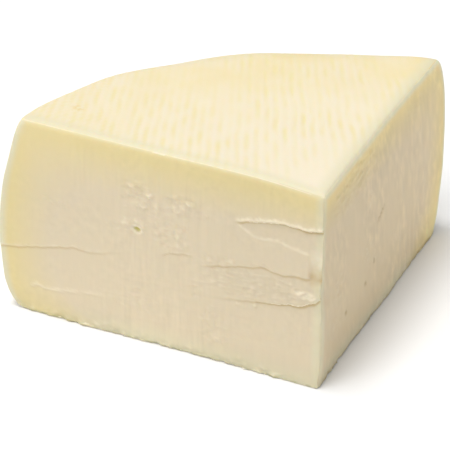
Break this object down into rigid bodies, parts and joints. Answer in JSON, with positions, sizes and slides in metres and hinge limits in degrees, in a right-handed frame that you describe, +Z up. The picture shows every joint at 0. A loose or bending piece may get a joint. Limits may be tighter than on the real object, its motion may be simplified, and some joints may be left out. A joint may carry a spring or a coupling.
{
  "type": "semi-soft cheese quarter",
  "caption": "Wedge from a low wheel of pressed semi-soft cheese, with plain cut faces, a bulging heel, a rounded shoulder and a flat base.",
  "frame": {"origin": "middle of the bounding box, on the flat underside", "axes": "+Z up out of the underside, +X from the left-hand cut to the right-hand one across the widest part, +Y from the upright point out through the middle of the heel"},
  "size_m": [0.2576, 0.1865, 0.1161],
  "materials": {
    "cheese": "matte and faintly moist"
  },
  "bodies": {
    "root": {"cheese_quarter": "cheese"}
  },
  "joints": []
}
